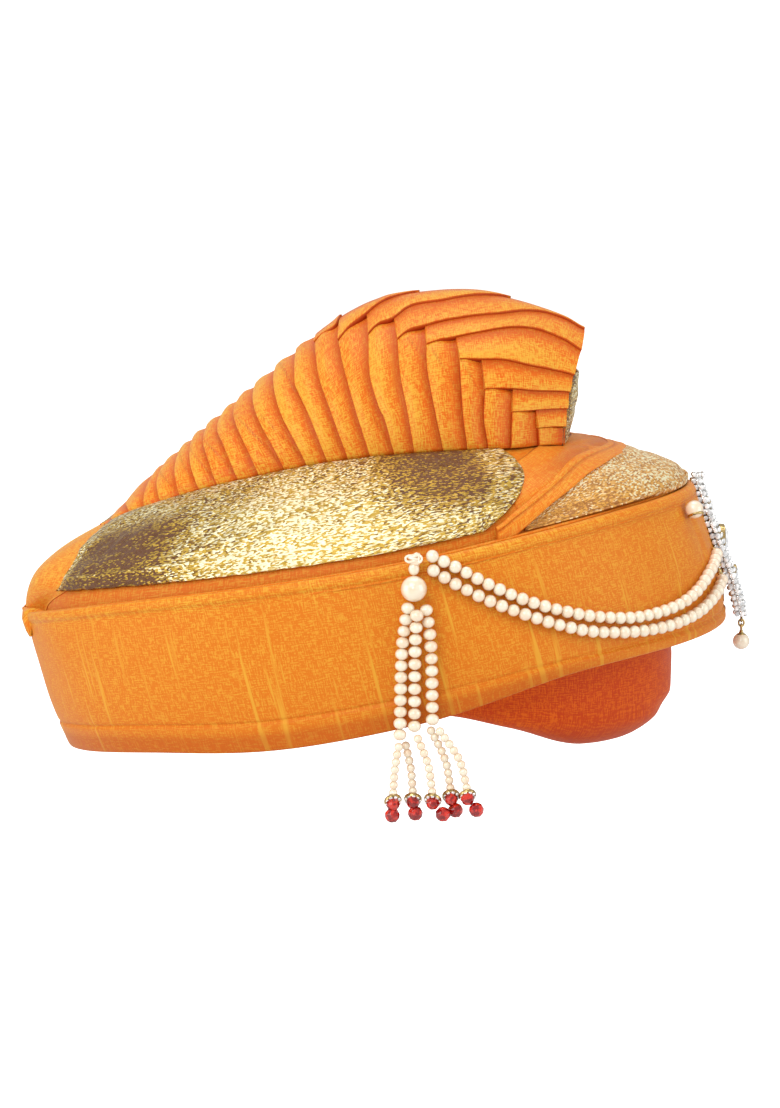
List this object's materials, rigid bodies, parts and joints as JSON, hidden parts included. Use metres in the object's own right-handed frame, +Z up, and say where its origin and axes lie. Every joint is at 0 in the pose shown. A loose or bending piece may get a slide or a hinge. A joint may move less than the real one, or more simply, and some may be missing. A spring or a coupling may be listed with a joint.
{
  "type": "ready-tied silk turban with pearl tassel and brooch",
  "caption": "Stiff-brimmed turban of pleated orange silk with gold tissue panels, a pearl garland and tassel, and a brooch at the brow.",
  "frame": {"origin": "centre of the head opening, where the turban sits on the head", "axes": "+X to the brow, +Y to the wearer's left, +Z up"},
  "size_m": [0.3017, 0.2453, 0.1974],
  "materials": {
    "orange_silk": "slubbed silk, low sheen",
    "deep_silk": "silk, low sheen",
    "pleated_silk": "pleated silk, low sheen",
    "gold_tissue": "metallic tissue",
    "pearl": "pearl gloss",
    "gilt": "antique gilt",
    "red_crystal": "cut and polished",
    "clear_stone": "cut and polished",
    "silver": "polished"
  },
  "bodies": {
    "root": {"head_cap": "deep_silk", "brim_band": "orange_silk", "deck": "orange_silk", "back_wrap": "orange_silk", "crest": "pleated_silk", "crest_front_gold": "gold_tissue", "gold_panel_near": "gold_tissue", "gold_panel_far": "gold_tissue", "front_deck_gold": "gold_tissue", "strap": "orange_silk", "garland_upper": "pearl", "garland_lower": "pearl", "tassel_knot": "gilt", "tassel_big_pearl": "pearl", "brooch": "silver", "brooch_stone_1": "clear_stone", "brooch_stone_2": "clear_stone", "brooch_stone_3": "clear_stone", "brooch_side_pearl": "pearl", "brooch_drop": "pearl", "tassel_column_1": "pearl", "tassel_column_2": "pearl", "tassel_column_3": "pearl", "tassel_strand_1": "pearl", "tassel_rondelle_1": "gilt", "tassel_strand_2": "pearl", "tassel_rondelle_2": "gilt", "tassel_strand_3": "pearl", "tassel_rondelle_3": "gilt", "tassel_strand_4": "pearl", "tassel_rondelle_4": "gilt", "tassel_strand_5": "pearl", "tassel_rondelle_5": "gilt", "tassel_crystal_1": "red_crystal", "tassel_crystal_2": "red_crystal", "tassel_crystal_3": "red_crystal", "tassel_crystal_4": "red_crystal", "tassel_crystal_5": "red_crystal", "tassel_crystal_6": "red_crystal", "tassel_crystal_7": "red_crystal", "tassel_crystal_8": "red_crystal", "tassel_crystal_9": "red_crystal", "tassel_crystal_10": "red_crystal"}
  },
  "joints": []
}
